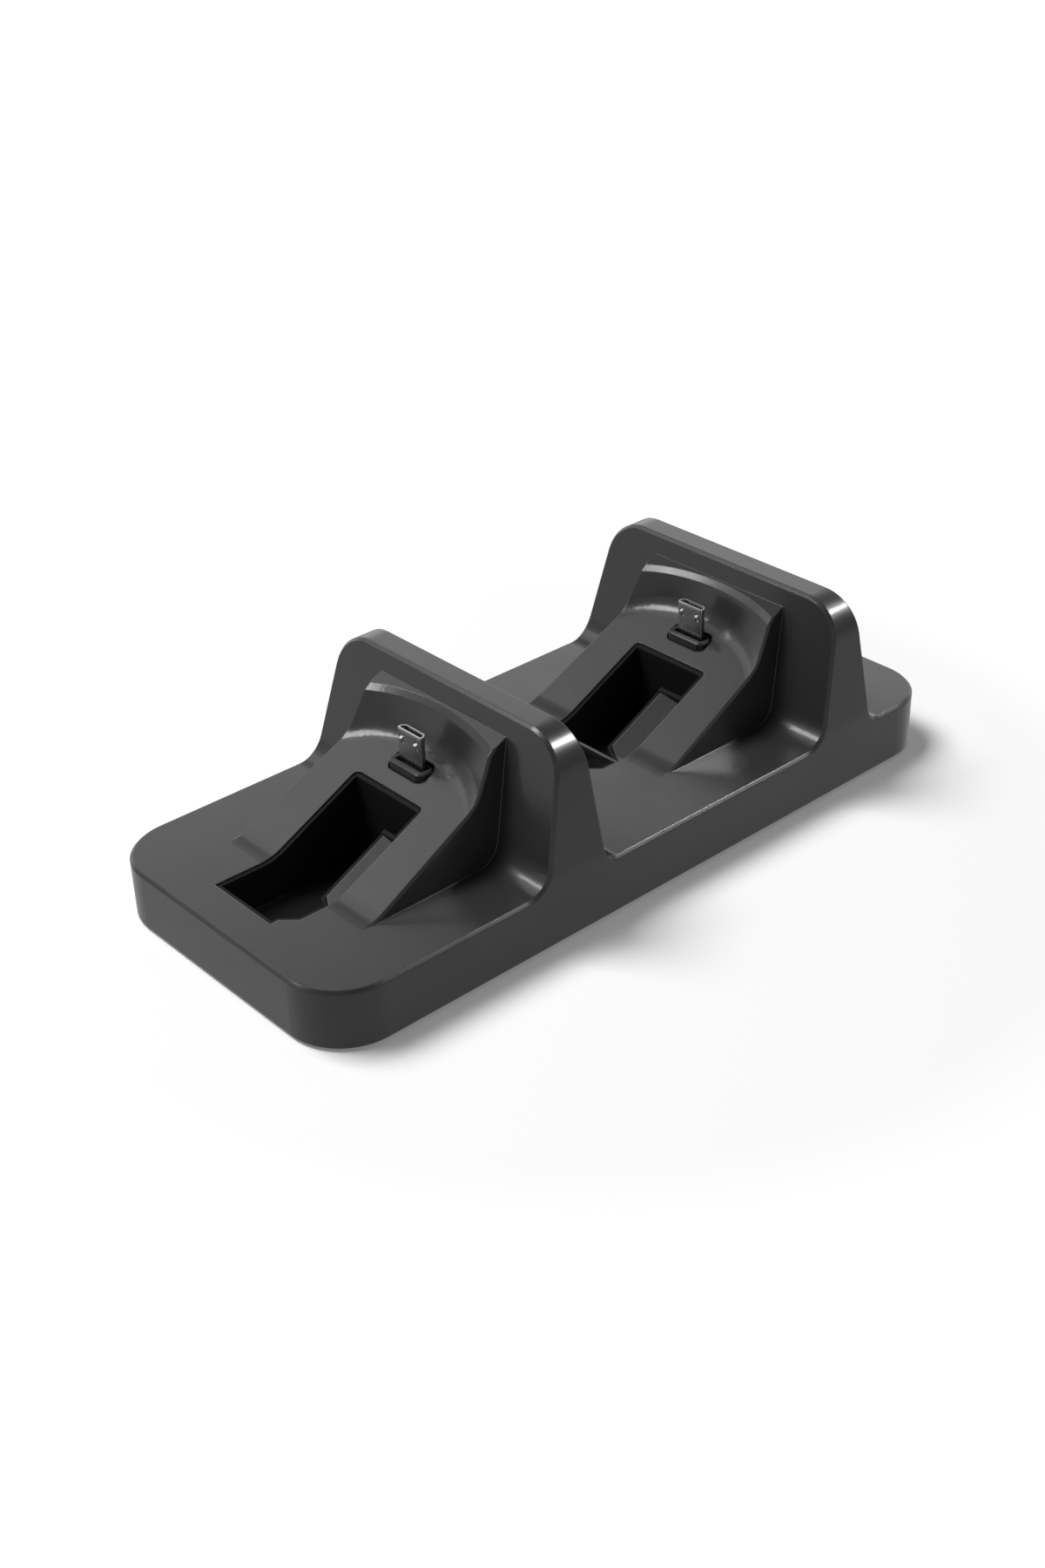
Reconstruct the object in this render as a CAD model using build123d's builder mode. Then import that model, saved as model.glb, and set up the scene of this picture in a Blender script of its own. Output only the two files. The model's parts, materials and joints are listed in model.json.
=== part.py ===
from build123d import *
from math import asin, cos, degrees, radians, tan
import os

# Controller charging dock, in millimetres. X runs along the dock from its front end to its
# power inlet, Y across it, Z up. The origin is on the table under the middle of the dock.

# Housing
length = 167.0
width = 72.0
base_height = 12.4
dock_height = 41.0
corner_radius = 12.5
wall = 2.0
foot_stand = 0.8
edge_chamfer = 0.6
slight_angle = 12.0

# Backrest humps
front_deck = 51.7
rear_deck = 22.2
hump_foot_depth = 15.5
hump_top_depth = 6.2
hump_front_lean = 13.5
hump_side_lean = 7.8
side_blend_radius = 20.0
side_blend_start = 1.0
shoulder_radius = 9.0
foot_fillet = 6.0
heel_fillet = 3.5

# Seats in front of the humps
seat_run = 30.1
slope_angle = 26.3
slope_blend = 11.0
seat_width = 42.6
seat_draft = 5.9
crest_height = 24.4
crest_fall = 23.0
seat_chamfer = 0.4
lip_chamfer = 0.9
scoop_fillet = 5.5
scoop_spill = 1.0

# Scooped back of a seat: two plan arcs, each with its height above the base, the place of its
# deepest point and how far it comes forward at the gauge half width
scoop_gauge = 19.0
scoop_low_height = 5.0
scoop_low_vertex = 0.1
scoop_low_sag = 6.87
scoop_high_height = 25.6
scoop_high_vertex = 5.0
scoop_high_sag = 2.05

# Wells in the seats
well_width = 20.6
well_front = 43.4
well_back = 8.2
well_corner = 1.3
well_cut_length = 4.8
well_cut_width = 2.7
well_cut_lead = 1.9
ledge_end = 15.6
ledge_drop = 0.5
ledge_tilt = 8.0
ledge_floor = 1.5
ledge_widths = {"front": 3.3, "rear": 6.0}
ledge_leads = {"front": 1.7, "rear": 3.2}
bridge_place = 33.3
bridge_width = 0.8
bridge_depth = 1.3
bridge_drop = 1.2

# Well liners
liner_wall = 0.8
liner_floor = 1.5
liner_gap = 0.1
liner_sink = 0.3

# Micro-USB plugs
plug_place = 1.95
plug_tip_height = 21.2
shell_wide = 6.85
shell_narrow = 5.4
shell_depth = 1.8
shell_wall = 0.3
shell_length = 13.0
collar_width = 10.4
collar_depth = 4.2
collar_front = 4.75
collar_corner = 1.6
collar_height = 14.2
collar_rim = 1.2
collar_recess = 0.9
collar_chamfer = 0.3
slot_gap = 0.25
plug_flange_width = 14.0
plug_flange_depth = 8.0
plug_flange_height = 3.0
tongue_width = 4.4
tongue_depth = 0.6
tongue_gap = 0.2
contact_count = 5
contact_pitch = 0.65
contact_width = 0.35
contact_depth = 0.12
latch_spacing = 4.3
latch_width = 0.7
latch_depth = 0.22
latch_below_tip = 2.3
hook_reach = 0.5
hook_height = 1.6

# Boards
board_thickness = 1.6
plug_board_width = 30.0
plug_board_length = 13.8
plug_board_front = 5.8
plug_board_drop = 1.8
main_board_length = 37.0
main_board_width = 40.0
main_board_gap = 1.4
main_board_stand = 2.5
main_screw_end_inset = 4.0
main_screw_side_inset = 3.5

# Fasteners and bosses
boss_radius = 3.0
small_boss_radius = 2.3
screw_radius = 1.2
screw_head_radius = 2.3
screw_length = 7.0
small_screw_radius = 0.9
small_screw_head_radius = 1.7
small_screw_head_height = 1.2
small_screw_length = 6.0
cross_width = 0.6
post_sides = 12
disc_sides = 48
pilot_gap = 0.05
hole_gap = 0.2
cover_screw_inset = 8.5
board_boss_place = 3.1
board_boss_spacing = 23.0
rib_thickness = 1.2
rib_spacing = 30.0

# Bottom cover and feet
cover_thickness = 2.0
cover_gap = 0.15
cover_rim_height = 2.0
cover_rim_wall = 1.2
foot_radius = 5.0
foot_recess = 0.8
foot_gap = 0.1
foot_end_inset = 18.5
foot_side_inset = 10.5
foot_chamfer = 0.5

# Power inlet and parts of the main board
inlet_width = 7.6
inlet_height = 2.8
inlet_depth = 5.6
inlet_wall = 0.35
inlet_gap = 0.2
inlet_flare = 1.1
inlet_round = 0.8
chip_length = 5.0
chip_width = 4.0
chip_height = 1.2
capacitor_radius = 2.5
capacitor_height = 5.4
coil_size = 6.0
coil_height = 2.8
lead_width = 1.8
lead_thickness = 1.0
lead_bend = 0.8
lead_gap = 0.4
lead_edge = 1.5

# Heights and places worked out from the sizes above
rim = foot_stand
base_top = rim + base_height
dock_top = rim + dock_height
front_end = -length / 2
rear_end = length / 2
cover_top = rim + cover_thickness
board_under = base_top - plug_board_drop - board_thickness
main_board_under = cover_top + main_board_stand
main_board_top = main_board_under + board_thickness
seats = {
    "front": front_end + front_deck,
    "rear": rear_end - rear_deck - hump_foot_depth,
}
hump_rise = dock_height - base_height
slope = radians(slope_angle)
fall = radians(crest_fall)
lean = radians(hump_front_lean)
side_lean = radians(hump_side_lean)


def seat_top(x, drop=0.0):
    """Height of the seat's slope above the base, at x from the hump's front foot."""
    return (x + seat_run) * tan(slope) - drop


def sharp_edges(part, low, high):
    """Edges with their middle between two heights where the faces meet at more than a slight angle."""
    borders = [(face, face.edges()) for face in part.faces()]
    found = []
    for edge in part.edges():
        middle = edge @ 0.5
        sides = [face for face, edges in borders if edge in edges]
        if len(sides) == 2 and low < middle.Z < high:
            if sides[0].normal_at(middle).get_angle(sides[1].normal_at(middle)) > slight_angle:
                found.append(edge)
    return found


def side_points(inset, floor):
    """Side outline of the base with its humps, moved inwards by inset."""
    top = base_top - inset
    front_shift = inset / cos(lean)
    rise = hump_rise
    back_run = hump_foot_depth - hump_top_depth - rise * tan(lean)
    points = [(front_end + inset, floor), (front_end + inset, top)]
    for hump in seats.values():
        front = hump + front_shift
        back = hump + hump_foot_depth - inset
        points += [
            (front - inset * tan(lean), top),
            (front + (rise - inset) * tan(lean), dock_top - inset),
            (back - back_run * (rise - inset) / rise, dock_top - inset),
            (back + back_run * inset / rise, top),
        ]
    points += [(rear_end - inset, top), (rear_end - inset, floor)]
    return points


def side_radii(inset):
    """Radius at each point of the side outline."""
    return [0, 0] + len(seats) * [foot_fillet + inset, 0, 0, heel_fillet + inset] + [0, 0]


def dock_form(inset, floor):
    """Base and humps, with their faces moved inwards by inset and their foot at the height floor."""
    half = width / 2 - inset
    lean_start = base_top + side_blend_start + side_blend_radius * tan(side_lean / 2)
    with BuildPart() as form:
        with BuildSketch(Plane.XZ):
            with BuildLine():
                FilletPolyline(*side_points(inset, floor), radius=side_radii(inset), close=True)
            make_face()
        extrude(amount=width, both=True)
        with BuildSketch(Plane.XY.offset(floor)):
            RectangleRounded(length - 2 * inset, width - 2 * inset, corner_radius - inset)
        extrude(amount=dock_top, mode=Mode.INTERSECT)
        with BuildSketch(Plane.YZ) as end_view:
            with BuildLine():
                top_half = half - (dock_top - inset - lean_start) * tan(side_lean)
                Polyline(
                    (-half, floor),
                    (-half, lean_start),
                    (-top_half, dock_top - inset),
                    (top_half, dock_top - inset),
                    (half, lean_start),
                    (half, floor),
                    close=True,
                )
            make_face()
            fillet(end_view.vertices().group_by(Axis.Y)[-1], shoulder_radius - inset)
            fillet(end_view.vertices().filter_by_position(Axis.Y, base_top, 2 * base_top), side_blend_radius)
        extrude(amount=length, both=True, mode=Mode.INTERSECT)
        if inset == 0:
            chamfer(sharp_edges(form.part, base_top - edge_chamfer, dock_top + edge_chamfer), edge_chamfer)
    return form.part


def slope_plane(drop):
    """The seat's slope as a plane facing up, drop below the surface, seen from the hump's foot."""
    return Plane(
        origin=(-seat_run, 0, base_top - drop / cos(slope)),
        x_dir=(cos(slope), 0, tan(slope) * cos(slope)),
        z_dir=(-tan(slope), 0, 1),
    )


def scoop_cutter(inset):
    """What the scoop removes: from the seat's slope up, between two plan arcs of unlike radius."""
    reach = seat_width / 2 + scoop_spill
    front = -seat_run
    with BuildPart() as cutter:
        for height, vertex, sag in (
            (scoop_low_height, scoop_low_vertex, scoop_low_sag),
            (scoop_high_height, scoop_high_vertex, scoop_high_sag),
        ):
            radius = (scoop_gauge**2 + sag**2) / (2 * sag)
            half_angle = degrees(asin(reach / radius))
            with BuildSketch(Plane.XY.offset(base_top + height)):
                with BuildLine():
                    back = CenterArc((vertex + inset - radius, 0), radius, -half_angle, 2 * half_angle)
                    Polyline(back @ 1, (front, reach), (front, -reach), back @ 0)
                make_face()
        loft(ruled=True)
        split(bisect_by=slope_plane(inset), keep=Keep.TOP)
    return cutter.part


def seat_block(inset):
    """One seat, with its origin below the front foot of its hump."""
    bury = base_height / 2
    top = base_top - inset
    drop = inset / cos(slope)
    slope_foot = (drop - inset) / tan(slope) - seat_run
    blend = slope_blend + inset
    crest_drop = inset / cos(fall)
    crest_x = crest_height * tan(lean)
    step = -seat_run / 2 + 2
    tail = crest_x + hump_top_depth / 2

    def crest(x):
        return base_top + crest_height - (crest_x - x) * tan(fall) - crest_drop

    with BuildPart() as block:
        with BuildSketch(Plane.XZ):
            with BuildLine():
                FilletPolyline(
                    (slope_foot - blend / 2, base_top - bury),
                    (slope_foot - blend / 2, top),
                    (slope_foot, top),
                    (step, base_top + seat_top(step, drop)),
                    (step, crest(step)),
                    (tail, crest(tail)),
                    (tail, base_top - bury),
                    radius=[0, 0, blend, 0, 0, 0, 0],
                    close=True,
                )
            make_face()
        extrude(amount=seat_width / 2 - inset, both=True)
        draft(block.faces().filter_by(Axis.Y), Plane.XY.offset(base_top), seat_draft)
        add(scoop_cutter(inset), mode=Mode.SUBTRACT)
        if inset == 0:
            scoop_edges = block.edges().filter_by(GeomType.BSPLINE).sort_by(Edge.length)[-2:]
            fillet(scoop_edges.sort_by(Axis.Z)[0], scoop_fillet)
            lip_edges = block.faces().sort_by(Axis.Z)[-1].edges().filter_by(GeomType.LINE, reverse=True)
            chamfer(lip_edges, lip_chamfer)
            outer_edges = ShapeList(sharp_edges(block.part, base_top - bury + 1, crest(tail) - 0.1))
            outer_edges = outer_edges.filter_by_position(Axis.X, -seat_run, tail - 0.1)
            outer_edges = outer_edges.filter_by_position(Axis.Z, 0, base_top + crest_height - 2 * lip_chamfer)
            chamfer(outer_edges, seat_chamfer)
    return block.part


def well_outline(name, margin=0.0):
    """Plan of a seat's well about the hump's foot, cut back for its ledge and grown by margin."""
    half = well_width / 2
    inner = ledge_widths[name] - half
    with BuildSketch() as outline:
        with BuildLine():
            Polyline(
                (-well_front, half),
                (-well_back, half),
                (-well_back, -half),
                (-ledge_end, -half),
                (-ledge_end, inner),
                (-seat_run, inner),
                (-seat_run - ledge_leads[name], -half),
                (well_cut_length - well_front, -half),
                (well_cut_lead - well_front, well_cut_width - half),
                (-well_front, well_cut_width - half),
                close=True,
            )
        make_face()
        fillet(outline.vertices().group_by(Axis.X)[-1], well_corner)
        if margin:
            offset(amount=margin, kind=Kind.INTERSECTION, mode=Mode.REPLACE)
    return outline.sketch


def ledge_cutter(name, drop, margin=0.0):
    """What lies over a seat's ledge: from drop under the slope up, and margin past the ledge."""
    half = well_width / 2
    lead = ledge_leads[name]
    inner = ledge_widths[name] - half
    with BuildPart() as cutter:
        with BuildSketch(Plane.XY.offset(base_top - ledge_floor)):
            with BuildLine():
                Polyline(
                    (-ledge_end, -half),
                    (-ledge_end, inner + margin),
                    (-seat_run - margin, inner + margin),
                    (-seat_run - lead - margin, -half),
                    close=True,
                )
            make_face()
        extrude(amount=dock_height)
        seat = Plane(
            origin=(-seat_run, inner, base_top - drop),
            x_dir=(1, 0, tan(slope)),
            z_dir=(-tan(slope), -tan(radians(ledge_tilt)), 1),
        )
        split(bisect_by=seat, keep=Keep.TOP)
    return cutter.part


def plug_profile(shrink=0.0):
    """Plan of the plug's D-shaped shell, its wide side to the front, moved inwards by shrink."""
    half_depth = shell_depth / 2
    with BuildSketch() as profile:
        with BuildLine():
            Polyline(
                (-half_depth, -shell_wide / 2),
                (0.1 * shell_depth, -shell_wide / 2),
                (half_depth, -shell_narrow / 2),
                (half_depth, shell_narrow / 2),
                (0.1 * shell_depth, shell_wide / 2),
                (-half_depth, shell_wide / 2),
                close=True,
            )
        make_face()
        fillet(profile.vertices(), shell_wall)
        if shrink:
            offset(amount=-shrink, mode=Mode.REPLACE)
    return profile.sketch


def screw(head_radius, head_height, radius, reach, countersunk=False):
    """A cross-head screw that stands on its head at the origin and points up."""
    with BuildPart() as body:
        with BuildSketch(Plane.XY):
            RegularPolygon(head_radius, 2 * post_sides)
        extrude(amount=head_height, taper=45 if countersunk else 0)
        with BuildSketch(Plane.XY):
            RegularPolygon(radius, post_sides)
        extrude(amount=reach)
        with BuildSketch(Plane.XY):
            Rectangle(1.3 * head_radius, cross_width)
            Rectangle(cross_width, 1.3 * head_radius)
        extrude(amount=0.6 * head_height, mode=Mode.SUBTRACT)
    return body.part


def keep(builder, name):
    """Names a finished piece and writes it out."""
    builder.part.label = name
    export_step(builder.part, f"parts/{name}.step")


os.makedirs("parts", exist_ok=True)

# Places shared by the pieces
seat_places = [(x, 0, 0) for x in seats.values()]
screw_places = [
    (end * (length / 2 - cover_screw_inset), side * (width / 2 - cover_screw_inset))
    for end in (-1, 1)
    for side in (-1, 1)
]
board_top = base_top - plug_board_drop
collar_middle = collar_depth / 2 - collar_front
inlet_middle = main_board_top + inlet_height / 2
main_board_end = rear_end - wall - main_board_gap
main_board_middle = main_board_end - main_board_length / 2
main_screw_places = [
    (
        main_board_middle + end * (main_board_length / 2 - main_screw_end_inset),
        end * (main_board_width / 2 - main_screw_side_inset),
    )
    for end in (-1, 1)
]
foot_places = {
    f"{side_name}_{end_name}": (end * (length / 2 - foot_end_inset), side * (width / 2 - foot_side_inset))
    for end_name, end in (("front", -1), ("rear", 1))
    for side_name, side in (("near", -1), ("far", 1))
}


def board_boss_places(x):
    """Screw places of the plug board whose hump starts at x."""
    return [(x - board_boss_place, side * board_boss_spacing / 2) for side in (-1, 1)]


# Upper housing: one moulded shell
with BuildPart() as solid_dock:
    add(dock_form(0, rim))
    with Locations(*seat_places):
        add(seat_block(0))

with BuildPart() as cavity:
    add(dock_form(wall, rim - wall))
    with Locations(*seat_places):
        add(seat_block(wall))

with BuildPart() as bosses:
    with BuildSketch(Plane.XY.offset(cover_top)):
        with Locations(*screw_places):
            RegularPolygon(boss_radius, post_sides)
    extrude(amount=base_height - cover_thickness - wall / 2)
    for x in seats.values():
        with BuildSketch(Plane.XY.offset(board_top)):
            with Locations(*board_boss_places(x)):
                RegularPolygon(small_boss_radius, post_sides)
    extrude(amount=seat_top(-board_boss_place) + plug_board_drop - wall / 2)
    for x in seats.values():
        with BuildSketch(Plane((x + hump_foot_depth / 2, 0, base_top + 1))):
            with GridLocations(0, rib_spacing, 1, 2):
                Rectangle(1.5 * hump_foot_depth, rib_thickness)
    extrude(amount=hump_rise)
    add(solid_dock.part, mode=Mode.INTERSECT)

with BuildPart() as well_cuts:
    for name, x in seats.items():
        with BuildSketch(Plane((x, 0, cover_top))):
            add(well_outline(name))
    extrude(amount=dock_height)

with BuildPart() as plug_slots:
    with BuildSketch(Plane.XY.offset(base_top)):
        with Locations(*[(x + collar_middle, 0) for x in seats.values()]):
            RectangleRounded(
                collar_depth + 2 * slot_gap, collar_width + 2 * slot_gap, collar_corner + slot_gap
            )
    extrude(amount=crest_height)

with BuildPart() as inlet_mouth:
    with BuildSketch(Plane((rear_end - 1.5 * wall, 0, inlet_middle), x_dir=(0, 1, 0), z_dir=(1, 0, 0))):
        RectangleRounded(inlet_width + 2 * inlet_gap, inlet_height + 2 * inlet_gap, inlet_round)
    extrude(amount=2 * wall)
    with BuildSketch(Plane((rear_end - wall / 2, 0, inlet_middle), x_dir=(0, 1, 0), z_dir=(1, 0, 0))):
        RectangleRounded(
            inlet_width + 2 * inlet_flare, inlet_height + 2 * inlet_flare, inlet_round + inlet_flare
        )
    extrude(amount=wall)

with BuildPart() as ledge_cuts:
    for name, x in seats.items():
        with Locations((x, 0, 0)):
            add(ledge_cutter(name, ledge_drop))

with BuildPart() as upper_housing:
    add(solid_dock.part)
    add(cavity.part, mode=Mode.SUBTRACT)
    add(bosses.part)
    add(well_cuts.part, mode=Mode.SUBTRACT)
    add(ledge_cuts.part, mode=Mode.SUBTRACT)
    add(plug_slots.part, mode=Mode.SUBTRACT)
    add(inlet_mouth.part, mode=Mode.SUBTRACT)
    with BuildSketch(Plane.XY.offset(base_top - bridge_drop)):
        with Locations((seats["rear"] - bridge_place, 0)):
            Rectangle(bridge_width, well_width + wall)
    extrude(amount=-bridge_depth)
    with BuildSketch(Plane.XY.offset(cover_top)):
        with Locations(*screw_places):
            RegularPolygon(screw_radius + pilot_gap, post_sides)
    extrude(amount=screw_length, mode=Mode.SUBTRACT)
    with BuildSketch(Plane.XY.offset(board_top)):
        with Locations(*[place for x in seats.values() for place in board_boss_places(x)]):
            RegularPolygon(small_screw_radius + pilot_gap, post_sides)
    extrude(amount=small_screw_length, mode=Mode.SUBTRACT)
keep(upper_housing, "upper_housing")

# Bottom cover with its locating rim, board posts and foot recesses
cover_inset = wall + cover_gap
with BuildPart() as bottom_cover:
    with BuildSketch(Plane.XY.offset(rim)):
        RectangleRounded(length - 2 * cover_inset, width - 2 * cover_inset, corner_radius - cover_inset)
    extrude(amount=cover_thickness)
    with BuildSketch(Plane.XY.offset(cover_top)):
        RectangleRounded(length - 2 * cover_inset, width - 2 * cover_inset, corner_radius - cover_inset)
        offset(amount=-cover_rim_wall, mode=Mode.SUBTRACT)
    extrude(amount=cover_rim_height)
    with BuildSketch(Plane.XY.offset(cover_top)):
        with Locations(*main_screw_places):
            RegularPolygon(small_boss_radius, post_sides)
    extrude(amount=main_board_stand)
    with BuildSketch(Plane.XY.offset(rim)):
        with Locations(*foot_places.values()):
            RegularPolygon(foot_radius + foot_gap, disc_sides)
    extrude(amount=foot_recess, mode=Mode.SUBTRACT)
    with BuildSketch(Plane.XY.offset(rim)):
        with Locations(*screw_places):
            RegularPolygon(screw_head_radius + hole_gap, 2 * post_sides)
    extrude(amount=screw_head_radius - screw_radius, taper=45, mode=Mode.SUBTRACT)
    with BuildSketch(Plane.XY.offset(rim)):
        with Locations(*screw_places):
            RegularPolygon(screw_radius + hole_gap, post_sides)
    extrude(amount=cover_thickness, mode=Mode.SUBTRACT)
    with BuildSketch(Plane.XY.offset(main_board_under)):
        with Locations(*main_screw_places):
            RegularPolygon(small_screw_radius + pilot_gap, post_sides)
    pilot_depth = small_screw_length - board_thickness - small_screw_head_height + pilot_gap
    extrude(amount=-pilot_depth, mode=Mode.SUBTRACT)
keep(bottom_cover, "bottom_cover")

# Rubber feet
for name, (x, y) in foot_places.items():
    with BuildPart() as foot:
        with BuildSketch(Plane((x, y, 0))):
            RegularPolygon(foot_radius, disc_sides)
        extrude(amount=foot_stand + foot_recess)
        chamfer(foot.edges().group_by(Axis.Z)[0], foot_chamfer)
    keep(foot, f"{name}_foot")

# Screws that hold the bottom cover
cover_screw = screw(screw_head_radius, screw_head_radius - screw_radius, screw_radius, screw_length, True)
with BuildPart() as cover_screws:
    with Locations(*[(x, y, rim) for x, y in screw_places]):
        add(cover_screw)
keep(cover_screws, "cover_screws")

# Well liners, one in each opening
with BuildPart() as liner_room:
    add(dock_form(liner_sink, rim))
    with Locations(*seat_places):
        add(seat_block(liner_sink))

for name, x in seats.items():
    with BuildPart() as liner:
        with BuildSketch(Plane((x, 0, cover_top))):
            add(well_outline(name, -liner_gap))
        extrude(amount=dock_height)
        add(liner_room.part, mode=Mode.INTERSECT)
        with BuildSketch(Plane((x, 0, cover_top + liner_floor))):
            add(well_outline(name, -liner_gap - liner_wall))
        extrude(amount=dock_height, mode=Mode.SUBTRACT)
        with Locations((x, 0, 0)):
            add(ledge_cutter(name, ledge_drop + liner_sink, 2 * liner_wall), mode=Mode.SUBTRACT)
        if name == "rear":
            with BuildSketch(Plane.XY.offset(base_top)):
                with Locations((x - bridge_place, 0)):
                    Rectangle(bridge_width + 2 * hole_gap, well_width)
            extrude(amount=-bridge_drop - bridge_depth - hole_gap, mode=Mode.SUBTRACT)
    keep(liner, f"{name}_well_liner")

# Plugs and the boards that carry them
tip = base_top + plug_tip_height
shell_foot = tip - shell_length
collar_top = base_top + collar_height
collar_floor = collar_top - collar_recess
hook_middle = tip - latch_below_tip
shell_inner = shell_depth / 2 - shell_wall
board_screw = screw(small_screw_head_radius, small_screw_head_height, small_screw_radius, small_screw_length)
for name, x in seats.items():
    plug_x = x - plug_place
    sides = [side * latch_spacing / 2 for side in (-1, 1)]
    recess_front = x - collar_front + collar_rim
    recess_back = plug_x + shell_depth / 2
    with BuildPart() as collar:
        with BuildSketch(Plane((plug_x, 0, board_top))):
            Rectangle(plug_flange_depth, plug_flange_width)
        extrude(amount=plug_flange_height)
        with BuildSketch(Plane((x + collar_middle, 0, board_top))):
            RectangleRounded(collar_depth, collar_width, collar_corner)
        extrude(amount=collar_height + plug_board_drop)
        chamfer(collar.edges().group_by(Axis.Z)[-1], collar_chamfer)
        with BuildSketch(Plane(((recess_front + recess_back) / 2, 0, collar_top))):
            Rectangle(recess_back - recess_front, collar_width - 2 * collar_rim)
        extrude(amount=-collar_recess, mode=Mode.SUBTRACT)
        with BuildSketch(Plane((plug_x, 0, shell_foot))):
            add(plug_profile())
        extrude(amount=shell_length, mode=Mode.SUBTRACT)
    keep(collar, f"{name}_plug_collar")

    with BuildPart() as shell:
        with BuildSketch(Plane((plug_x, 0, shell_foot))):
            add(plug_profile())
            add(plug_profile(shell_wall), mode=Mode.SUBTRACT)
        extrude(amount=shell_length)
        with Locations(*[(plug_x - shell_depth / 2, y, hook_middle) for y in sides]):
            Box(3 * shell_wall, latch_width + hole_gap, hook_height + hole_gap, mode=Mode.SUBTRACT)
    keep(shell, f"{name}_plug_shell")

    with BuildPart() as latches:
        for y in sides:
            with BuildSketch(Plane((plug_x, y, 0), x_dir=(1, 0, 0), z_dir=(0, -1, 0))):
                with BuildLine():
                    Polyline(
                        (-shell_inner, shell_foot),
                        (-shell_inner, hook_middle - hook_height / 2),
                        (-shell_depth / 2 - hook_reach, hook_middle + hook_height / 4),
                        (-shell_inner, hook_middle + hook_height / 2),
                        (latch_depth - shell_inner, hook_middle + hook_height / 2),
                        (latch_depth - shell_inner, shell_foot),
                        close=True,
                    )
                make_face()
            extrude(amount=latch_width / 2, both=True)
    keep(latches, f"{name}_plug_latches")

    tongue_front = shell_inner - tongue_gap - tongue_depth
    with BuildPart() as tongue:
        with BuildSketch(Plane((plug_x, 0, shell_foot))):
            add(plug_profile(shell_wall))
        extrude(amount=collar_floor - shell_foot)
        with BuildSketch(Plane((plug_x + tongue_front + tongue_depth / 2, 0, collar_floor))):
            Rectangle(tongue_depth, tongue_width)
        extrude(amount=tip - collar_floor - 2 * shell_wall)
        with Locations(*[(plug_x - shell_inner, y, shell_foot) for y in sides]):
            Box(
                2 * latch_depth,
                latch_width,
                shell_length,
                align=(Align.CENTER, Align.CENTER, Align.MIN),
                mode=Mode.SUBTRACT,
            )
    keep(tongue, f"{name}_plug_tongue")

    with BuildPart() as contacts:
        with BuildSketch(Plane((plug_x + tongue_front - contact_depth / 2, 0, collar_floor))):
            with GridLocations(0, contact_pitch, 1, contact_count):
                Rectangle(contact_depth, contact_width)
        extrude(amount=tip - collar_floor - 4 * shell_wall)
    keep(contacts, f"{name}_plug_contacts")

    with BuildPart() as plug_board:
        board_x = x - plug_board_front + plug_board_length / 2
        with BuildSketch(Plane((board_x, 0, board_under))):
            Rectangle(plug_board_length, plug_board_width)
        extrude(amount=board_thickness)
        with BuildSketch(Plane.XY.offset(board_under)):
            with Locations(*board_boss_places(x)):
                RegularPolygon(small_screw_radius + hole_gap, post_sides)
        extrude(amount=board_thickness, mode=Mode.SUBTRACT)
    keep(plug_board, f"{name}_plug_board")

    with BuildPart() as board_screws:
        with Locations(*[(*place, board_under - small_screw_head_height) for place in board_boss_places(x)]):
            add(board_screw)
    keep(board_screws, f"{name}_plug_board_screws")

# Main board and what stands on it
with BuildPart() as main_board:
    with BuildSketch(Plane((main_board_middle, 0, main_board_under))):
        Rectangle(main_board_length, main_board_width)
    extrude(amount=board_thickness)
    with BuildSketch(Plane.XY.offset(main_board_under)):
        with Locations(*main_screw_places):
            RegularPolygon(small_screw_radius + hole_gap, post_sides)
    extrude(amount=board_thickness, mode=Mode.SUBTRACT)
keep(main_board, "main_board")

with BuildPart() as main_board_screws:
    head_top = main_board_top + small_screw_head_height
    with Locations(*[Location((x, y, head_top), (180, 0, 0)) for x, y in main_screw_places]):
        add(board_screw)
keep(main_board_screws, "main_board_screws")

with BuildPart() as charge_chips:
    with BuildSketch(Plane((main_board_middle, 0, main_board_top))):
        with Locations((chip_length / 2, -2 * chip_width), (1.5 * chip_length, 0)):
            Rectangle(chip_length, chip_width)
    extrude(amount=chip_height)
    chamfer(charge_chips.faces().sort_by(Axis.Z)[-2:].edges(), chip_height / 6)
keep(charge_chips, "charge_chips")

with BuildPart() as capacitors:
    with BuildSketch(Plane((seats["rear"] + hump_foot_depth - 1.5 * capacitor_radius, 0, main_board_top))):
        with GridLocations(0, 4 * capacitor_radius, 1, 2):
            RegularPolygon(capacitor_radius, 2 * post_sides)
    extrude(amount=capacitor_height)
keep(capacitors, "capacitors")

with BuildPart() as coil:
    with BuildSketch(Plane((main_board_end - 1.5 * coil_size, 1.5 * coil_size, main_board_top))):
        Rectangle(coil_size, coil_size)
    extrude(amount=coil_height)
    chamfer(coil.edges().filter_by(Axis.Z), coil_size / 6)
keep(coil, "charge_coil")

# Power inlet at the rear end
inlet_mouth_x = rear_end - wall / 2
inlet_plane = Plane((inlet_mouth_x, 0, inlet_middle), x_dir=(0, 1, 0), z_dir=(1, 0, 0))
with BuildPart() as inlet_shell:
    with BuildSketch(inlet_plane):
        RectangleRounded(inlet_width, inlet_height, inlet_round)
    extrude(amount=-inlet_depth)
    with BuildSketch(inlet_plane):
        RectangleRounded(
            inlet_width - 2 * inlet_wall, inlet_height - 2 * inlet_wall, inlet_round - inlet_wall
        )
    extrude(amount=inlet_wall - inlet_depth, mode=Mode.SUBTRACT)
keep(inlet_shell, "inlet_shell")

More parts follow.
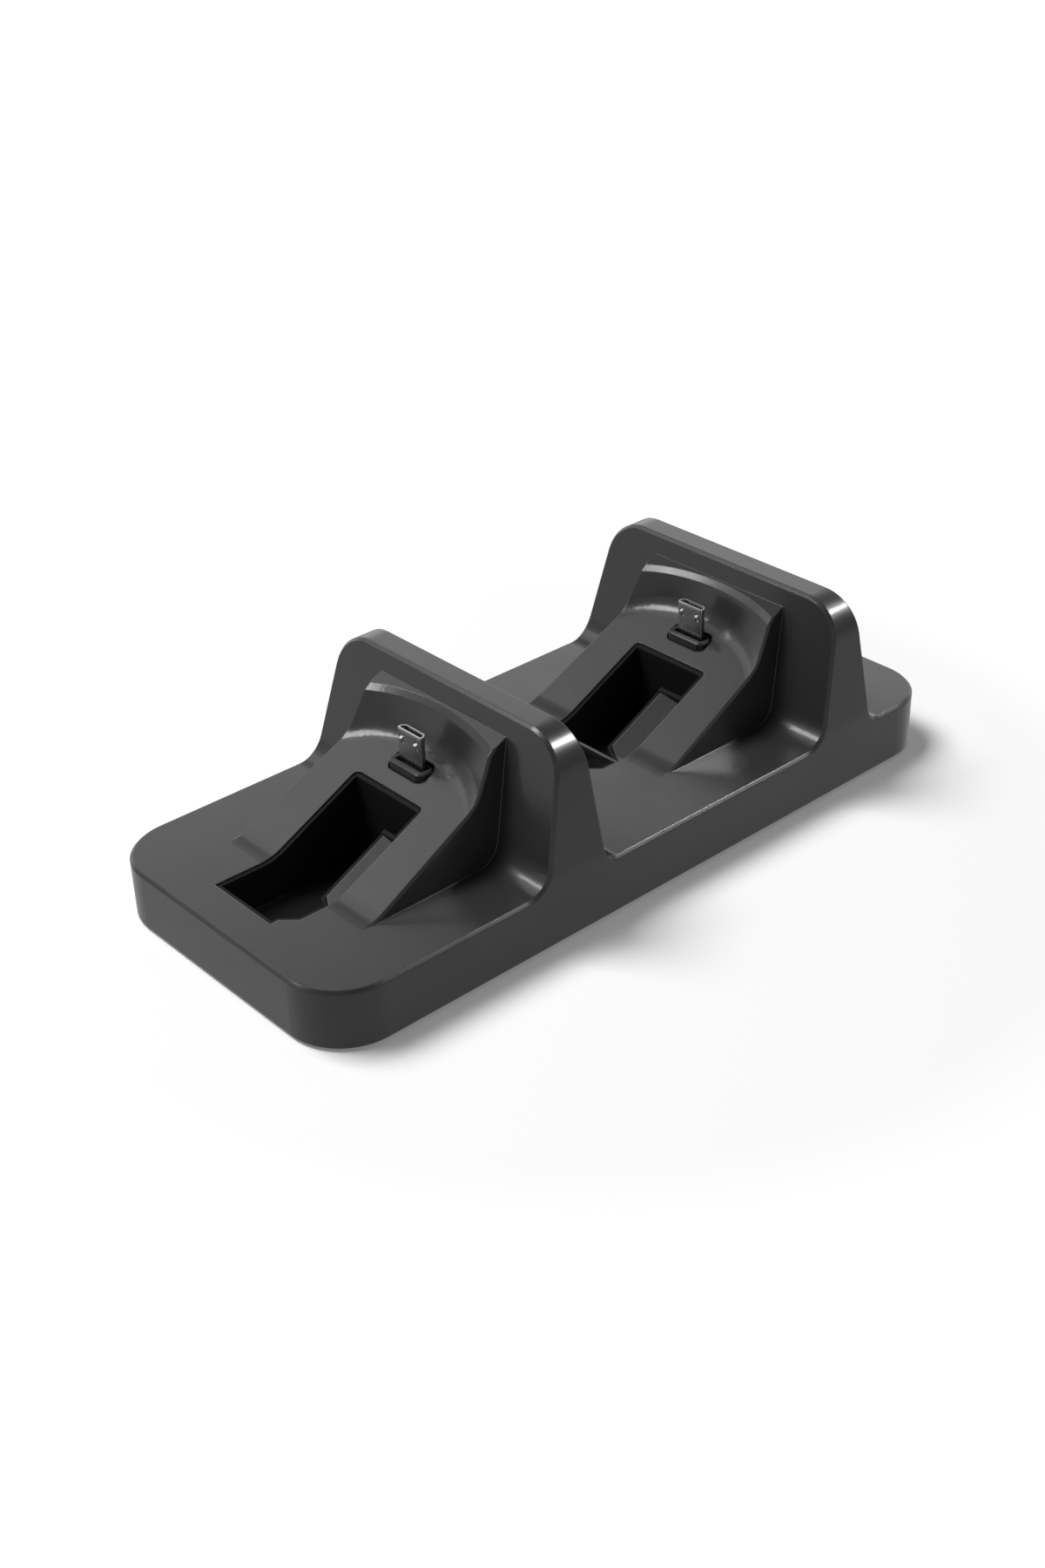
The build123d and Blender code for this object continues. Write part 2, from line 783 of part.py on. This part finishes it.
inlet_back = inlet_mouth_x - inlet_depth + inlet_wall
with BuildPart() as inlet_tongue:
    with BuildSketch(Plane((inlet_back, 0, inlet_middle), x_dir=(0, 1, 0), z_dir=(1, 0, 0))):
        Rectangle(0.6 * inlet_width, tongue_depth)
    extrude(amount=inlet_depth - inlet_wall - tongue_depth)
keep(inlet_tongue, "inlet_tongue")

inlet_contact_height = inlet_middle - (tongue_depth + contact_depth) / 2
with BuildPart() as inlet_contacts:
    with BuildSketch(Plane((inlet_back, 0, inlet_contact_height), x_dir=(0, 1, 0), z_dir=(1, 0, 0))):
        with GridLocations(contact_pitch, 0, contact_count, 1):
            Rectangle(contact_width, contact_depth)
    extrude(amount=inlet_depth - inlet_wall - 2 * tongue_depth)
keep(inlet_contacts, "inlet_contacts")

# Flat twin leads from the main board up to each plug board
run_height = main_board_top + lead_gap + lead_thickness / 2
lead_starts = (("front", -1, 2 * capacitor_radius), ("rear", 1, hump_foot_depth - capacitor_radius))
for name, side, start in lead_starts:
    start_x = seats["rear"] + start
    end_x = seats[name] - plug_board_front + plug_board_length - lead_edge
    lead_y = side * (plug_board_width / 2 - lead_edge)
    with BuildPart() as leads:
        with BuildLine():
            route = FilletPolyline(
                (start_x, lead_y, main_board_top),
                (start_x, lead_y, run_height),
                (end_x, lead_y, run_height),
                (end_x, lead_y, board_under),
                radius=lead_bend,
            )
        with BuildSketch(Plane(origin=route @ 0, x_dir=(1, 0, 0), z_dir=(0, 0, 1))):
            Rectangle(lead_thickness, lead_width)
        sweep(path=route)
    keep(leads, f"{name}_plug_leads")
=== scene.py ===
import json
from math import cos, radians, sin

import bpy
from mathutils import Matrix, Vector


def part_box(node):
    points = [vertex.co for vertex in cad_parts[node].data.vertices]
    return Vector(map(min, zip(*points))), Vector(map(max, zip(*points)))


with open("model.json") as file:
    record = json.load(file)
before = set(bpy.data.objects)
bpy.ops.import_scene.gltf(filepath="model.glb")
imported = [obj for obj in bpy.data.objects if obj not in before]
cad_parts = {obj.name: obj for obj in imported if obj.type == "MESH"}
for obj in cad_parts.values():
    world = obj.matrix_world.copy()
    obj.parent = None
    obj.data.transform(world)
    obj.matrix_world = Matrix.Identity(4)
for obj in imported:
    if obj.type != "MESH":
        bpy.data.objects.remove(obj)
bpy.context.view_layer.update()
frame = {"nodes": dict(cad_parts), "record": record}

# Metres, in the frame of the model: X along the dock, Y across it, Z up
MM = 0.001
WHITE = (1.0, 1.0, 1.0, 1.0)


def towards(azimuth, elevation):
    """Unit direction, in degrees round from the dock's rear end and up from the floor."""
    level = cos(radians(elevation))
    return Vector((level * cos(radians(azimuth)), level * sin(radians(azimuth)), sin(radians(elevation))))


# Camera: its place, two directions of its picture, its lens and sensor in millimetres

CAMERA_PLACE = Vector((-244.19, -273.22, 230.85)) * MM
CAMERA_RIGHT = Vector((0.74299, -0.66881, -0.02584))
CAMERA_DOWN = Vector((-0.36393, -0.37129, -0.85422))
CAMERA_LENS = 47.21
CAMERA_SENSOR = 36.0
CAMERA_NEAR = 0.01
CAMERA_FAR = 50.0


def add_camera():
    data = bpy.data.cameras.new("camera")
    data.sensor_width = CAMERA_SENSOR
    data.lens = CAMERA_LENS
    data.clip_start = CAMERA_NEAR
    data.clip_end = CAMERA_FAR
    camera = bpy.data.objects.new("camera", data)
    bpy.context.collection.objects.link(camera)
    right = CAMERA_RIGHT.normalized()
    up = (-CAMERA_DOWN - right * (-CAMERA_DOWN).dot(right)).normalized()
    back = right.cross(up)
    turn = Matrix((right, up, back)).transposed().to_4x4()
    camera.matrix_world = Matrix.Translation(CAMERA_PLACE) @ turn
    bpy.context.scene.camera = camera


# Node helpers

def new_material(name):
    material = bpy.data.materials.new(name)
    material.use_nodes = True
    nodes = material.node_tree.nodes
    nodes.clear()
    output = nodes.new("ShaderNodeOutputMaterial")
    shader = nodes.new("ShaderNodeBsdfPrincipled")
    material.node_tree.links.new(shader.outputs["BSDF"], output.inputs["Surface"])
    return material, shader


class Tree:
    """Short calls for the nodes of one material or world."""

    def __init__(self, owner):
        self.nodes = owner.node_tree.nodes
        self.links = owner.node_tree.links
        self.coordinates = self.nodes.new("ShaderNodeTexCoord").outputs
        self.place = self.coordinates["Object"]

    def link(self, source, target):
        self.links.new(source, target)

    def give(self, value, target):
        """Sets a plain number on a socket, or links another socket to it."""
        if isinstance(value, float):
            target.default_value = value
        else:
            self.link(value, target)

    def stretched(self, scale):
        """Object coordinates, scaled by a different factor along each axis."""
        mapping = self.nodes.new("ShaderNodeMapping")
        mapping.inputs["Scale"].default_value = scale
        self.link(self.place, mapping.inputs["Vector"])
        return mapping.outputs["Vector"]

    def noise(self, scale, detail=2.0, roughness=0.5, place=None):
        node = self.nodes.new("ShaderNodeTexNoise")
        node.inputs["Scale"].default_value = scale
        node.inputs["Detail"].default_value = detail
        node.inputs["Roughness"].default_value = roughness
        self.link(place or self.place, node.inputs["Vector"])
        return node.outputs["Fac"]

    def cells(self, scale, place=None):
        node = self.nodes.new("ShaderNodeTexVoronoi")
        node.inputs["Scale"].default_value = scale
        self.link(place or self.place, node.inputs["Vector"])
        return node.outputs["Distance"]

    def spread(self, value, low, high, start=0.35, end=0.65):
        """Spreads a value that runs from start to end over low to high."""
        node = self.nodes.new("ShaderNodeMapRange")
        node.inputs["From Min"].default_value = start
        node.inputs["From Max"].default_value = end
        node.inputs["To Min"].default_value = low
        node.inputs["To Max"].default_value = high
        self.link(value, node.inputs["Value"])
        return node.outputs["Result"]

    def ramp(self, value, first, second, start=0.35, end=0.65):
        """Colour that runs from first to second as the value runs from start to end."""
        node = self.nodes.new("ShaderNodeValToRGB")
        stops = node.color_ramp.elements
        stops[0].position = start
        stops[1].position = end
        stops[0].color = (*first, 1.0)
        stops[1].color = (*second, 1.0)
        self.link(value, node.inputs["Fac"])
        return node.outputs["Color"]

    def softened(self, radius):
        """Normal that turns smoothly over each edge, as on a moulding with small radii."""
        node = self.nodes.new("ShaderNodeBevel")
        node.samples = 6
        node.inputs["Radius"].default_value = radius
        return node.outputs["Normal"]

    def bump(self, height, distance, strength=1.0, normal=None):
        node = self.nodes.new("ShaderNodeBump")
        node.inputs["Distance"].default_value = distance
        node.inputs["Strength"].default_value = strength
        self.link(height, node.inputs["Height"])
        if normal:
            self.link(normal, node.inputs["Normal"])
        return node.outputs["Normal"]

    def arithmetic(self, operation, *values):
        """Result of a math node whose values are sockets or plain numbers."""
        node = self.nodes.new("ShaderNodeMath")
        node.operation = operation
        for value, target in zip(values, node.inputs):
            self.give(value, target)
        return node.outputs["Value"]

    def measured(self, operation, vector, other=None):
        """Length of a vector, or its dot product with another."""
        node = self.nodes.new("ShaderNodeVectorMath")
        node.operation = operation
        self.link(vector, node.inputs[0])
        if other is not None:
            node.inputs[1].default_value = other
        return node.outputs["Value"]

    def background(self, strength):
        node = self.nodes.new("ShaderNodeBackground")
        node.inputs["Color"].default_value = WHITE
        self.give(strength, node.inputs["Strength"])
        return node.outputs["Background"]

    def mixed(self, factor, first, second):
        node = self.nodes.new("ShaderNodeMixShader")
        self.link(factor, node.inputs["Fac"])
        self.link(first, node.inputs[1])
        self.link(second, node.inputs[2])
        return node.outputs["Shader"]


def shade(color, factor):
    return tuple(min(1.0, channel * factor) for channel in color)


# Materials: scales are features per metre, and changes are how far a colour or gloss strays

CLOUD_SCALE = 45.0
CLOUD_CHANGE = 0.08
WEAR_SCALE = 120.0
WEAR_CHANGE = 0.03
FINE_GRAINS = 2.2
POLISH_ROUGHNESS = 0.1
STAIN_SCALE = 400.0
LINE_DEPTH = 0.004 * MM
PLATED_LINES = (9000.0, 9000.0, 1500.0)
PLATED_ROUGHNESS = 0.26
# Painted highlight on the plug's tip: how far below its top the colour starts to brighten, and over what
# height
TIP_HIGHLIGHT_BELOW = 0.55 * MM
TIP_HIGHLIGHT_BLEND = 0.25 * MM
WEAVE_DEPTH = 0.01 * MM
RUN_SCALE = 420.0


def moulded(name, color, roughness, grain_size, grain_depth, sheen=0.5, softness=0.25 * MM, polish=0.0):
    """Moulded plastic: a fine grain, broad changes of polish, and faint cloudiness in the colour."""
    material, shader = new_material(name)
    tree = Tree(material)
    cloud = tree.noise(CLOUD_SCALE, 3.0)
    clouded = tree.ramp(cloud, shade(color, 1.0 - CLOUD_CHANGE), shade(color, 1.0 + CLOUD_CHANGE))
    tree.link(clouded, shader.inputs["Base Color"])
    wear = tree.noise(WEAR_SCALE, 4.0, 0.6)
    tree.link(tree.spread(wear, roughness - WEAR_CHANGE, roughness + WEAR_CHANGE), shader.inputs["Roughness"])
    grain = tree.cells(1.0 / grain_size)
    fine = tree.noise(FINE_GRAINS / grain_size)
    coarse = tree.bump(grain, grain_depth, 0.6, tree.softened(softness))
    surface = tree.bump(fine, grain_depth, 0.5, coarse)
    tree.link(surface, shader.inputs["Normal"])
    if polish:
        tree.link(surface, shader.inputs["Coat Normal"])
    shader.inputs["Specular IOR Level"].default_value = sheen
    shader.inputs["Coat Weight"].default_value = polish
    shader.inputs["Coat Roughness"].default_value = POLISH_ROUGHNESS
    return material


def metal(name, color, roughness, stroke):
    """Plated or brushed metal, its fine lines along the axis with the smallest stroke."""
    material, shader = new_material(name)
    tree = Tree(material)
    lines = tree.noise(1.0, 3.0, 0.6, tree.stretched(stroke))
    stain = tree.noise(STAIN_SCALE, 3.0)
    tree.link(tree.ramp(stain, shade(color, 0.88), shade(color, 1.05)), shader.inputs["Base Color"])
    tree.link(tree.spread(lines, roughness - 0.06, roughness + 0.08), shader.inputs["Roughness"])
    tree.link(tree.bump(lines, LINE_DEPTH, 0.5), shader.inputs["Normal"])
    shader.inputs["Metallic"].default_value = 1.0
    return material


def plug_metal(name, color, tip_highlight_color, tip_height):
    """Plated shell whose rolled tip is painted brighter than its faces, a painted highlight."""
    material = metal(name, color, PLATED_ROUGHNESS, PLATED_LINES)
    tree = Tree(material)
    shader = next(node for node in tree.nodes if node.type == "BSDF_PRINCIPLED")
    faces = shader.inputs["Base Color"].links[0].from_socket
    place = tree.nodes.new("ShaderNodeSeparateXYZ")
    tree.link(tree.place, place.inputs["Vector"])
    # Painted highlight: near the top of the shell its colour turns from the faces' grey to the bright tip
    # colour
    tip_start = tip_height - TIP_HIGHLIGHT_BELOW
    mix = tree.nodes.new("ShaderNodeMix")
    mix.data_type = "RGBA"
    tree.link(
        tree.spread(place.outputs["Z"], 0.0, 1.0, tip_start, tip_start + TIP_HIGHLIGHT_BLEND),
        mix.inputs["Factor"],
    )
    tree.link(faces, mix.inputs["A"])
    mix.inputs["B"].default_value = (*tip_highlight_color, 1.0)
    tree.link(mix.outputs["Result"], shader.inputs["Base Color"])
    return material


def laminate(name, color):
    """Lacquered circuit board: woven cloth under the lacquer and copper runs that show through."""
    material, shader = new_material(name)
    tree = Tree(material)
    weave = tree.noise(1.0, 2.0, 0.5, tree.stretched((900.0, 2400.0, 900.0)))
    runs = tree.cells(RUN_SCALE, tree.stretched((1.0, 0.35, 1.0)))
    tree.link(tree.ramp(runs, shade(color, 1.5), color, 0.1, 0.16), shader.inputs["Base Color"])
    tree.link(tree.spread(weave, 0.28, 0.4), shader.inputs["Roughness"])
    tree.link(tree.bump(weave, WEAVE_DEPTH, 0.4), shader.inputs["Normal"])
    return material


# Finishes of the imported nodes

PLUG_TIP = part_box("front_plug_shell")[1][2]
FINISHES = {
    "housing_plastic": moulded(
        "charcoal_plastic", (0.035, 0.035, 0.0363), 0.3, 0.34 * MM, 0.006 * MM, softness=0.35 * MM, polish=0.5
    ),
    # Well liner: black plastic whose near-black tone is also painted shade, so that the lit floors of the
    # wells read as shade
    "liner_plastic": moulded("black_plastic_painted_shade", (0.011, 0.011, 0.0115), 0.6, 0.5 * MM, 0.02 * MM, 0.15),
    "cover_plastic": moulded("cover_plastic", (0.026, 0.0265, 0.028), 0.6, 0.7 * MM, 0.05 * MM, 0.4),
    "collar_plastic": moulded("collar_plastic", (0.04, 0.04, 0.042), 0.3, 0.25 * MM, 0.006 * MM),
    "tongue_plastic": moulded("tongue_plastic", (0.014, 0.014, 0.015), 0.3, 0.2 * MM, 0.004 * MM),
    "foot_rubber": moulded("foot_rubber", (0.022, 0.022, 0.023), 0.8, 0.3 * MM, 0.03 * MM, 0.25),
    "chip_plastic": moulded("chip_plastic", (0.022, 0.022, 0.024), 0.5, 0.15 * MM, 0.006 * MM, 0.4),
    "coil_core": moulded("coil_core", (0.075, 0.072, 0.07), 0.7, 0.2 * MM, 0.02 * MM, 0.3),
    "lead_cover": moulded("lead_cover", (0.28, 0.02, 0.02), 0.35, 0.4 * MM, 0.004 * MM),
    # The plug shell's tip carries a painted highlight, brighter than its faces
    "plug_steel": plug_metal("plug_steel", (0.42, 0.42, 0.43), (0.9, 0.9, 0.9), PLUG_TIP),
    # Latches: the shell's plated steel painted far lighter, a painted highlight on the hooks
    "latch_steel_painted_highlight": metal("latch_steel_painted_highlight", (0.9, 0.9, 0.9), 0.36, PLATED_LINES),
    "screw_steel": metal("screw_steel", (0.42, 0.42, 0.44), 0.36, (2600.0, 700.0, 700.0)),
    "capacitor_can": metal("capacitor_can", (0.72, 0.73, 0.75), 0.3, (2400.0, 2400.0, 300.0)),
    "contact_gold": metal("contact_gold", (0.83, 0.62, 0.27), 0.25, (800.0, 2600.0, 800.0)),
    "circuit_board": laminate("circuit_board", (0.02, 0.14, 0.06)),
}

SLOT_OF = {part["node"]: part["material_slot"] for part in frame["record"]["subparts"]}
for node, thing in frame["nodes"].items():
    finish = FINISHES["latch_steel_painted_highlight" if node.endswith("latches") else SLOT_OF[node]]
    if not thing.material_slots:
        thing.data.materials.append(finish)
    for slot in thing.material_slots:
        slot.material = finish


# Floor: its colour for the camera and for all else, and the glow that makes it paper white, which
# grows with the distance from the middle of the dock

FLOOR_HALF = 4.0
FLOOR_COLOR = (0.97, 0.97, 0.97)
FLOOR_COLOR_UNSEEN = (0.1, 0.1, 0.1)
FLOOR_ROUGHNESS = 0.9
GLOW_NEAR = 0.155
GLOW_FAR = 1.0
GLOW_START = 0.11
GLOW_END = 0.35
GLOW_IN_GLOSS = 0.45


def floor_material():
    """White floor that the camera sees as paper white and that keeps the shadow of the dock."""
    material, shader = new_material("floor")
    tree = Tree(material)
    shader.inputs["Roughness"].default_value = FLOOR_ROUGHNESS
    shader.inputs["Specular IOR Level"].default_value = 0.0
    ray = tree.nodes.new("ShaderNodeLightPath").outputs
    color = tree.ramp(ray["Is Camera Ray"], FLOOR_COLOR_UNSEEN, FLOOR_COLOR, 0.0, 1.0)
    tree.link(color, shader.inputs["Base Color"])
    distance = tree.measured("LENGTH", tree.place)
    glow = tree.spread(distance, GLOW_NEAR, GLOW_FAR, GLOW_START, GLOW_END)
    seen = tree.arithmetic("MULTIPLY", ray["Is Camera Ray"], glow)
    emission = tree.nodes.new("ShaderNodeEmission")
    tree.link(
        tree.arithmetic("MULTIPLY_ADD", ray["Is Glossy Ray"], GLOW_IN_GLOSS, seen),
        emission.inputs["Strength"],
    )
    both = tree.nodes.new("ShaderNodeAddShader")
    tree.link(shader.outputs["BSDF"], both.inputs[0])
    tree.link(emission.outputs["Emission"], both.inputs[1])
    output = next(node for node in tree.nodes if node.type == "OUTPUT_MATERIAL")
    tree.link(both.outputs["Shader"], output.inputs["Surface"])
    return material


def add_floor(half):
    mesh = bpy.data.meshes.new("floor")
    corners = [(-half, -half, 0.0), (half, -half, 0.0), (half, half, 0.0), (-half, half, 0.0)]
    mesh.from_pydata(corners, [], [(0, 1, 2, 3)])
    floor = bpy.data.objects.new("floor", mesh)
    bpy.context.collection.objects.link(floor)
    mesh.materials.append(floor_material())


# Light: strengths of the world, and the bright low side of the backdrop that gloss sees

BACKDROP_LEVEL = 1.0
DIM_LEVEL = 0.08
GLOSS_LEVELS = (0.12, 1.1)
BRIGHT_SIDE = towards(49.0, 0.0)
SIDE_FADE = (0.4, 0.7)
SIDE_LEAST = 0.25
HEIGHT_FADE = (0.43, 0.7)


def add_world():
    """Even dim light, with a pale backdrop for the camera that gloss shows brightest near the floor."""
    world = bpy.data.worlds.new("studio")
    world.use_nodes = True
    world.node_tree.nodes.clear()
    tree = Tree(world)
    ray = tree.nodes.new("ShaderNodeLightPath").outputs
    upward = tree.nodes.new("ShaderNodeSeparateXYZ")
    tree.link(tree.coordinates["Generated"], upward.inputs["Vector"])
    low = tree.spread(upward.outputs["Z"], 1.0, 0.0, *HEIGHT_FADE)
    sideways = tree.measured("DOT_PRODUCT", tree.coordinates["Generated"], BRIGHT_SIDE)
    side = tree.spread(sideways, SIDE_LEAST, 1.0, *SIDE_FADE)
    strength = tree.spread(tree.arithmetic("MULTIPLY", low, side), *GLOSS_LEVELS, 0.0, 1.0)
    lit = tree.mixed(ray["Is Glossy Ray"], tree.background(DIM_LEVEL), tree.background(strength))
    shown = tree.mixed(ray["Is Camera Ray"], lit, tree.background(BACKDROP_LEVEL))
    tree.link(shown, tree.nodes.new("ShaderNodeOutputWorld").inputs["Surface"])
    world.cycles.sampling_method = "NONE"
    bpy.context.scene.world = world


def add_area(name, place, size, power, target=(0.0, 0.0, 0.0), diffuse=True, gloss=True):
    """Rectangular lamp, its size in metres and its power in watts."""
    data = bpy.data.lights.new(name, "AREA")
    data.shape = "RECTANGLE"
    data.size, data.size_y = size
    data.energy = power
    lamp = bpy.data.objects.new(name, data)
    bpy.context.collection.objects.link(lamp)
    turn = (Vector(target) - place).to_track_quat("-Z", "Y").to_matrix().to_4x4()
    lamp.matrix_world = Matrix.Translation(place) @ turn
    lamp.visible_diffuse = diffuse
    lamp.visible_glossy = gloss


# The key lights the surfaces, and the three nearer lamps only show in their gloss
KEY_DISTANCE = 2.4
GLOSS_DISTANCE = 1.2

add_camera()
add_floor(FLOOR_HALF)
add_world()
add_area("key", KEY_DISTANCE * towards(122.0, 61.0), (1.2, 1.2), 54.5, gloss=False)
add_area("rear", GLOSS_DISTANCE * towards(139.0, 46.0), (0.45, 0.28), 3.6, diffuse=False)
add_area("soft", GLOSS_DISTANCE * towards(99.0, 45.0), (0.5, 0.5), 0.7, diffuse=False)
add_area("side", GLOSS_DISTANCE * towards(-30.0, 45.0), (0.3, 0.3), 9.0, (0.0, 0.0, 20 * MM), diffuse=False)

bpy.context.scene.view_settings.view_transform = "Standard"
